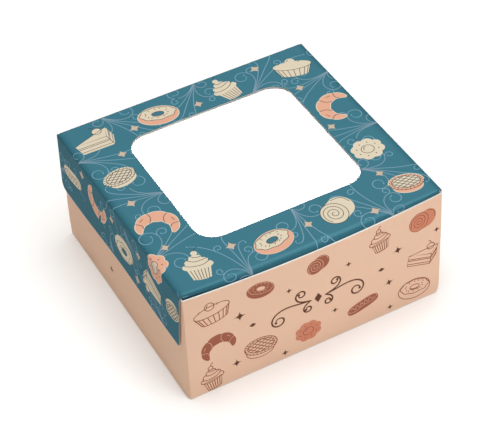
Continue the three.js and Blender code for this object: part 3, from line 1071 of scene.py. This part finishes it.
class Ink:
    """One ink as it is laid on a flat sheet: faces, and lines drawn as ribbons. trim moves
    a point that falls off the sheet to the sheet's edge."""

    def __init__(self, trim):
        self.trim = trim
        self.points = []
        self.faces = []
        self.shares = []
        self.lots = 0

    def lay(self, points, faces, lift, shares):
        """Adds faces, each lot a hair higher than the last, so that none lie in one plane."""
        start = len(self.points)
        self.lots += 1
        lift += lot_lift * (self.lots % lot_levels)
        self.points += [(x, y, lift) for x, y in points]
        self.shares += shares
        self.faces += [[start + i for i in face] for face in faces]

    def fill(self, outline, lift, holes=(), share=0.0):
        """A flat shape inside an outline and round its holes."""
        loops = [[self.trim(*p) for p in loop] for loop in (outline, *holes)]
        points = [p for loop in loops for p in loop]
        faces = []
        for a, b, c in tessellate_polygon([[Vector((*p, 0)) for p in loop] for loop in loops]):
            (ax, ay), (bx, by), (cx, cy) = points[a], points[b], points[c]
            area = (bx - ax) * (cy - ay) - (cx - ax) * (by - ay)
            if abs(area) > least_face ** 2:
                faces.append([a, b, c] if area > 0 else [a, c, b])
        self.lay(points, faces, lift, [share] * len(points))

    def dot(self, place, reach, steps, lift, share=0.0):
        """A round spot, such as a line ends in."""
        self.fill(oval(*place[:2], reach, reach, steps=steps), lift, share=share)

    def draw(self, line, width, lift, closed=False, taper=0.0, shares=(0.0, 0.0)):
        """A ribbon along a line, fading to a point at its ends where it tapers. It breaks
        off where the line is off the sheet."""
        line = [p[:2] for p in line]
        if closed:
            line = line + [line[0]]
        runs = [[]]
        for i, p in enumerate(line):
            if math.dist(p, self.trim(*p)) > off_sheet:
                runs.append([])
            else:
                runs[-1].append(i)
        last = len(line) - 1
        for run in runs:
            if len(run) < 2:
                continue
            points, shares_here = [], []
            for i in run:
                before, after = line[max(i - 1, 0)], line[min(i + 1, last)]
                if closed and i in (0, last):
                    before, after = line[-2], line[1]
                way = Vector((after[0] - before[0], after[1] - before[1]))
                way = way.normalized() if way.length else Vector((1, 0))
                share = i / last
                fade = min(1, min(share, 1 - share) * 5 + 0.25) if taper else 1
                half = width / 2 * (1 - taper * (1 - fade))
                x, y = line[i]
                points.append(self.trim(x - way.y * half, y + way.x * half))
                points.append(self.trim(x + way.y * half, y - way.x * half))
                shares_here += [shares[0] + (shares[1] - shares[0]) * share] * 2
            faces = [[2 * k, 2 * k + 1, 2 * k + 3, 2 * k + 2] for k in range(len(run) - 1)]
            self.lay(points, faces, lift, shares_here)

    def sheet(self, name):
        """All of the ink as one flat piece, a little above the board."""
        mesh = bpy.data.meshes.new(name)
        mesh.from_pydata(self.points, [], self.faces)
        mark = mesh.attributes.new("run", "FLOAT", "POINT")
        mark.data.foreach_set("value", self.shares)
        piece = bpy.data.objects.new(name, mesh)
        bpy.context.collection.objects.link(piece)
        return piece


under_lift = 0.012 * mm
body_lift = 0.02 * mm
pale_lift = 0.028 * mm
line_lift = 0.036 * mm
line_width = 0.34 * mm
bold_width = 0.44 * mm
rim_width = 0.5 * mm
scroll_width = 0.44 * mm
scroll_dot = 0.42 * mm
roll_margin = 0.05 * mm  # the print over the front roll stops this far inside its ends


def placed(line, x, y, size, turn):
    """A motif's line at its spot on the sheet: x, y and size are in millimetres, and turn
    is in degrees."""
    lean = math.radians(turn)
    return [
        ((x + size * (a * math.cos(lean) - b * math.sin(lean))) * mm,
         (y + size * (a * math.sin(lean) + b * math.cos(lean))) * mm)
        for a, b in line
    ]


def paint(motif, spot, body=None, pale=None, lines=None, rim=None, width=line_width):
    """Prints one motif at its spot. body and pale are inks for its faces, lines for its
    drawing and rim for a fine edge round it."""
    holes = [placed(hole, *spot) for hole in motif.get("holes", [])]
    for outline in motif["body"]:
        edge = placed(outline, *spot)
        if body:
            body.fill(edge, body_lift, holes if outline is motif["body"][0] else ())
        if rim:
            rim.draw(edge, rim_width, body_lift, closed=True)
        if not body:
            lines.draw(edge, width, line_lift, closed=True)
    for outline in motif.get("pale", []) if pale else []:
        pale.fill(placed(outline, *spot), pale_lift, holes)
    for outline in motif.get("edges", []):
        lines.draw(placed(outline, *spot), width, line_lift, closed=True)
    for line in motif["lines"]:
        lines.draw(placed(line, *spot), width, line_lift)


def star(ink, hollow, *spot):
    """Prints a four-pointed star at its spot."""
    ink.fill(placed(sparkle(hollow), *spot), body_lift)


def scroll(ink, x, y, heading, length, hand):
    """Prints a flourish from its root, with a dot where each line ends."""
    for line, first, last in flourish(x * mm, y * mm, heading, length * mm, hand):
        ink.draw(line, scroll_width, under_lift, taper=0.7, shares=(first, last))
        ink.dot(line[-1], scroll_dot, 10, under_lift, share=last)


def flap_front(past, hand):
    """Where the flap's front edge is on the flat sheet, this far past the panel."""
    reached, front = 0, fold_y
    for step, next_front in flap_fronts[hand]:
        if past <= step:
            return front + (next_front - front) * (past - reached) / (step - reached)
        reached, front = step, next_front
    return front


def lid_trim(x, y):
    """Keeps the lid's print out of the window, and on the sheet."""
    a, b = x - window_x, y - window_y
    over_x = abs(a) - window_wide / 2 + window_round
    over_y = abs(b) - window_deep / 2 + window_round
    if over_x < window_round and over_y < window_round:
        if over_x > 0 and over_y > 0:
            far = math.hypot(over_x, over_y)
            if far < window_round:
                a += math.copysign(over_x / far * window_round - over_x, a)
                b += math.copysign(over_y / far * window_round - over_y, b)
        elif over_x > over_y:
            a = math.copysign(window_wide / 2, a)
        else:
            b = math.copysign(window_deep / 2, b)
    x, y = a + window_x, b + window_y
    past = clamp(abs(x) - panel_x, 0, flap_depth)
    x = clamp(x, -panel_x - past, panel_x + past)
    front = flap_front(past, -1 if x < 0 else 1)
    if abs(x) < panel_x - roll_margin:
        front = fold_y - roll_arc
    y = clamp(y, front, lid_rear_y + rear_crease * min(past / notch, 1))
    for radius, end, edge in ((flap_rear_round, 1, rear_y), (flap_front_round, -1, -front)):
        a, b = past - flap_depth + radius, end * y - edge + radius
        far = math.hypot(a, b)
        if a > 0 and b > 0 and far > radius:
            x -= math.copysign(a - a / far * radius, x)
            y -= end * (b - b / far * radius)
    return x, y


lid_peach, lid_cream, lid_dark, lid_sand, lid_blue, lid_scuffs = (Ink(lid_trim) for _ in range(6))
for motif, tone, *spot in (
    (cake_slice, "cream", -61, 60, 23, 10),
    (doughnut, "peach", -22, 60, 23, -12),
    (cupcake, "cream", 20, 60, 16.5, 14),
    (tartlet, "cream", 61, 59, 22, -16),
    (croissant, "peach", 62, 17, 22, 60),
    (biscuit, "cream", 60, -24, 20, 0),
    (pie, "peach", 63, -58, 19, -15),
    (bun, "cream", 22, -57, 21, 12),
    (doughnut, "peach", -17, -60, 22, 8),
    (cupcake, "cream", -58, -57, 17, -12),
    (croissant, "peach", -61, -17, 22, -25),
    (pie, "cream", -62, 24, 19, 12),
    (eclair, "cream", -94, 58, 21, 96),
    (croissant, "peach", -91, 27, 21, 70),
    (doughnut, "cream", -97, -5, 22, 100),
    (biscuit, "peach", -78, -44, 19, 0),
    (cake_slice, "cream", -98, -38, 21, 80),
    (pie, "cream", -92, -62, 16, 110),
    (doughnut, "peach", 92, 60, 22, -60),
    (cupcake, "cream", 96, 28, 16, -85),
    (eclair, "peach", 90, -2, 22, -100),
    (tartlet, "cream", 98, -32, 21, -75),
    (croissant, "peach", 91, -60, 21, -95),
):
    if tone == "peach":
        paint(motif(), spot, body=lid_peach, pale=lid_cream, lines=lid_dark, rim=lid_cream)
    else:
        paint(motif(), spot, body=lid_cream, lines=lid_dark)
for spot in (
    (-38, 57, 6.5, 10), (1, 57, 6, 0), (42, 68, 6.5, 15), (55, 40, 6, 0), (53, 2, 6, 20),
    (55, -44, 5.5, 10), (38, -67, 6.5, 0), (4, -58, 6, 15), (-37, -52, 6.5, 0), (-66, -36, 5.5, 5),
    (-66, 3, 6.5, 10), (-53, 41, 6, 0), (-82, 44, 6.5, 0), (-86, 8, 6, 20), (-106, -20, 6.5, 0),
    (-86, -24, 6, 10), (85, 44, 6, 0), (104, 10, 5.5, 0), (84, -18, 6, 15), (84, -46, 5.5, 0),
):
    star(lid_sand, 3, *spot)
for spot in (
    (-50, 75, -62, 38, 1), (7, 75, -118, 37, -1), (31, 50, 34, 40, 1), (76, 45, -152, 40, -1),
    (76, -8, 166, 42, 1), (48, -36, -28, 40, -1), (46, -76, 112, 40, 1), (2, -43, -82, 38, -1),
    (-36, -77, 106, 38, -1), (-77, -42, 18, 46, 1), (-47, 2, 172, 46, -1), (-77, 47, -14, 42, -1),
    (-100, 76, -75, 30, 1), (-112, 10, 35, 34, -1), (-80, -8, -150, 32, 1), (-112, -50, 40, 30, 1),
    (84, 75, -72, 34, -1), (111, 44, -130, 34, -1), (83, 14, -40, 34, -1), (111, -14, -120, 34, 1),
):
    scroll(lid_blue, *spot)
for line, width in (
    ([(-75.3, -67.8), (-75.7, -69.4), (-76.3, -71.0)], 0.4),
    ([(-75.0, -74.6), (-73.9, -75.5), (-72, -75.8), (-70.4, -75.7)], 1.7),
):
    lid_scuffs.draw([(x * mm, y * mm) for x, y in line], width * mm, line_lift, taper=0.9)


def fold_ink(ink, name, material, bends, bent):
    """Folds an ink with its board's sheet, and gives it a body that just enters the board.
    bends says where it is scored: across which axis, at which places, and which faces."""
    piece = ink.sheet(name)
    open_mesh(piece)
    for axis, places, fits in bends:
        score(piece, axis, places, fits)
    bpy.ops.object.mode_set(mode="OBJECT")
    fold_up(piece, bent)
    cover(piece, material)
    thicken(piece, 2 * body_lift)
    return piece


def ink_material(name, shade, far_shade=None):
    """An ink in the board's own finish. Where it has a far colour, it runs to that along
    each line."""
    material = board_material(name, shade, drift=0.05, roughness=0.45)
    if far_shade:
        tint_by(material, "run", shade, far_shade)
    return material


lid_bends = (
    (0, flap_lines, None), (1, dent_lines, on_left_flap), (1, roll_lines[:-1], None),
    (0, bow_lines, lambda c: c.y < fold_y),
)
blue_ink = ink_material("blue_ink", colour(134, 158, 174), colour(124, 174, 194))
for ink, name, material in (
    (lid_peach, "lid_print_peach", ink_material("peach_ink", colour(232, 176, 150))),
    (lid_cream, "lid_print_cream", ink_material("cream_ink", colour(226, 214, 190))),
    (lid_dark, "lid_print_lines", ink_material("dark_ink", colour(70, 72, 76))),
    (lid_sand, "lid_print_stars", ink_material("sand_ink", colour(210, 188, 166))),
    (lid_blue, "lid_print_scrolls", blue_ink),
    (lid_scuffs, "lid_scuffs", ink_material("scuffed_ink", colour(126, 164, 190))),
):
    piece = fold_ink(ink, name, material, lid_bends, lid_point)
    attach(piece, "lid")


# The print on the tray: browns on the peach board. The front has drawn and solid motifs round
# a plain scroll ornament, the rear has a few, and the sides only a star or two.
def wall_trim(x, y):
    """Keeps the tray's print below the walls' top edge, and on the sheet."""
    return clamp(x, -halfway, halfway), clamp(y, 0, wall_height(x))


tray_brown, tray_solid, tray_pale, tray_dark, tray_rust = (Ink(wall_trim) for _ in range(5))
halfway_round = halfway / mm
ornament_width = 0.95 * mm
ornament_dot = 0.8 * mm
for motif, tone, *spot in (
    (tartlet, "drawn", -60, 56, 20, 12),
    (doughnut, "solid", -33, 58, 16, -14),
    (bun, "solid", 0, 59, 14, 10),
    (cupcake, "drawn", 37, 56, 13.5, 10),
    (bun, "rust", 63, 57, 17, -12),
    (croissant, "solid", -58, 31, 19, 14),
    (cake_slice, "drawn", 64, 33, 19, -8),
    (pie, "drawn", -34, 16, 19, -8),
    (biscuit, "rust", -6, 13, 17, 0),
    (eclair, "solid", 27, 15, 18, 16),
    (doughnut, "drawn", 59, 10, 20, -10),
    (cupcake, "drawn", -62, 8, 14, 8),
    (cupcake, "drawn", halfway_round - 50, 48, 16, 8),
    (croissant, "solid", halfway_round - 22, 22, 20, -12),
    (doughnut, "rust", 12 - halfway_round, 52, 19, 10),
    (pie, "drawn", 40 - halfway_round, 20, 18, -8),
    (bun, "solid", 60 - halfway_round, 50, 17, 6),
    (biscuit, "drawn", halfway_round - 60, 14, 18, 0),
):
    if tone == "drawn":
        paint(motif(), spot, lines=tray_brown, width=bold_width)
    elif tone == "solid":
        paint(motif(), spot, body=tray_solid, lines=tray_pale)
    else:
        paint(motif(), spot, body=tray_rust, lines=tray_brown)
for spot in (
    (-45, 45, 8, 0), (48, 44, 7, 10), (-17, 49, 5, 0), (18, 50, 5, 0), (-48, 12, 6.5, 0),
    (10, 20, 5, 0), (43, 23, 6.5, 15), (72, 46, 5, 0), (44, 4, 5, 0), (-20, 4, 5.5, 0),
    (-110, 40, 7.5, 10), (-165, 18, 6, 0), (122, 44, 7, 0), (178, 20, 6, 10),
):
    star(tray_dark, 4.2, *spot)


def centre_ornament(ink, x, y):
    """A scroll ornament, alike on both sides of a diamond."""
    def diamond(across, wide, high):
        ink.fill([
            ((x + across + a * wide) * mm, (y + b * high) * mm)
            for a, b in ((-1, 0), (0, -1), (1, 0), (0, 1))
        ], line_lift)

    for hand in (-1, 1):
        side = 0 if hand > 0 else 180
        for leaving, length, turning, growth, sway in (
            (4, 46, -480, 2.5, 24), (14, 27, 470, 2.0, -14), (-24, 19, -440, 1.7, 10),
        ):
            line = curl(
                (x + 4 * hand) * mm, y * mm, math.radians(side + leaving * hand), length * mm,
                turning * hand, growth, sway * hand,
            )
            ink.draw(line, ornament_width, line_lift, taper=0.5)
            ink.dot(line[-1], ornament_dot, 12, line_lift)
        diamond(38 * hand, 2 * hand, 1.3)
    diamond(0, 2.2, 3.4)


centre_ornament(tray_dark, 0, 35)

tray_bends = (
    (0, corner_lines + side_lines, None), (0, front_lines, on_front),
    (1, [share * wall_height(0) for share in wall_shares], None),
)
for ink, name, material in (
    (tray_brown, "tray_print_lines", ink_material("brown_ink", colour(150, 88, 62))),
    (tray_solid, "tray_print_solid", ink_material("chocolate_ink", colour(165, 101, 80))),
    (tray_pale, "tray_print_pale", ink_material("pale_ink", colour(222, 170, 142))),
    (tray_rust, "tray_print_rust", ink_material("rust_ink", colour(213, 139, 112))),
    (tray_dark, "tray_print_dark", ink_material("dark_brown_ink", colour(105, 68, 52))),
):
    piece = fold_ink(ink, name, material, tray_bends, wall_point)
    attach(piece, "tray")


# The window film: one thin clear sheet with rounded corners, glued to the inside of the
# lid's board all round the window.
film_margin = 9 * mm
film_thick = 0.1 * mm
film_round = 5 * mm
film_top = lid_top - board - glue
film = flat_sheet(
    "film", window_x - window_wide / 2 - film_margin, window_x + window_wide / 2 + film_margin,
    window_y - window_deep / 2 - film_margin, window_y + window_deep / 2 + film_margin,
)
open_mesh(film)
bpy.ops.mesh.select_all(action="SELECT")
bpy.ops.transform.translate(value=(0, 0, film_top))
bpy.ops.mesh.bevel(offset=film_round, offset_type="OFFSET", segments=6, affect="VERTICES")
bpy.ops.object.mode_set(mode="OBJECT")
film_clear = new_material("film_clear")
tree = film_clear.node_tree
gloss = tree.nodes["Principled BSDF"]
gloss.inputs["Base Color"].default_value = (1, 1, 1, 1)
gloss.inputs["Metallic"].default_value = 1
gloss.inputs["Roughness"].default_value = 0.04
clear = tree.nodes.new("ShaderNodeBsdfTransparent")
clear.inputs["Color"].default_value = (0.98, 0.98, 0.98, 1)
# The film mirrors a twentieth of the light that meets it straight on, and all at a glance.
slant = tree.nodes.new("ShaderNodeLayerWeight")
slant.inputs["Blend"].default_value = 0.5
steep = math_node(tree, "POWER", slant.outputs["Facing"], 5)
shown = tree.nodes.new("ShaderNodeMixShader")
feed(tree, shown.inputs["Fac"], math_node(tree, "MULTIPLY_ADD", steep, 0.95, 0.05))
feed(tree, shown.inputs[1], clear.outputs["BSDF"])
feed(tree, shown.inputs[2], gloss.outputs["BSDF"])
feed(tree, tree.nodes["Material Output"].inputs["Surface"], shown.outputs["Shader"])
cover(film, film_clear)
thicken(film, film_thick)
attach(film, "lid")
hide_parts("window_film")


# The floor and the studio light: a plain white floor, a soft light in front and a little to
# the right, a large one overhead, and a slightly warm fill from all round.
bpy.ops.object.select_all(action="DESELECT")
bpy.ops.mesh.primitive_plane_add(size=8, location=(0, 0, 0))
floor = bpy.context.object
floor.name = "floor"
floor_white = new_material("floor_white")
floor_face = floor_white.node_tree.nodes["Principled BSDF"].inputs
floor_face["Base Color"].default_value = (0.92, 0.92, 0.92, 1)
floor_face["Roughness"].default_value = 0.9
cover(floor, floor_white)

world = bpy.data.worlds.new("studio")
bpy.context.scene.world = world
world.use_nodes = True
fill_light = world.node_tree.nodes["Background"].inputs
fill_light["Color"].default_value = (1, 0.95, 0.86, 1)
fill_light["Strength"].default_value = 0.2


def soft_light(name, place, size, power, aim=(0, 0, 0.03)):
    """A square light panel turned to what it lights, all in metres."""
    bpy.ops.object.select_all(action="DESELECT")
    bpy.ops.object.light_add(type="AREA", location=place)
    light = bpy.context.object
    light.name = name
    light.data.shape = "SQUARE"
    light.data.size = size
    light.data.energy = power
    light.rotation_euler = (Vector(aim) - Vector(place)).to_track_quat("-Z", "Y").to_euler()
    return light


def only_for(light, piece):
    """Lets a light reach one piece alone."""
    reached = bpy.data.collections.new(light.name + "_reaches")
    reached.objects.link(piece)
    light.light_linking.receiver_collection = reached
    light.visible_camera = False


soft_light("front_light", (0.32, -0.72, 0.5), size=0.5, power=2.05)
soft_light("top_light", (0.05, 0.1, 1.45), size=1.2, power=16)

# Two more lights each reach one thing alone. A broad one above the camera keeps the floor
# white, and a soft panel behind the box shows white in the window's film.
only_for(soft_light("floor_light", (-0.5, -0.7, 2.4), size=5.5, power=54), floor)
window_middle = Vector((window_x, window_y, lid_top))
away = (camera.location - window_middle).normalized()
panel_distance = 1.2
panel_place = window_middle + panel_distance * Vector((-away.x, -away.y, away.z))
window_panel = soft_light("window_panel", panel_place, size=0.6, power=10.5, aim=window_middle)
only_for(window_panel, film)
bpy.context.scene.view_settings.view_transform = "Standard"
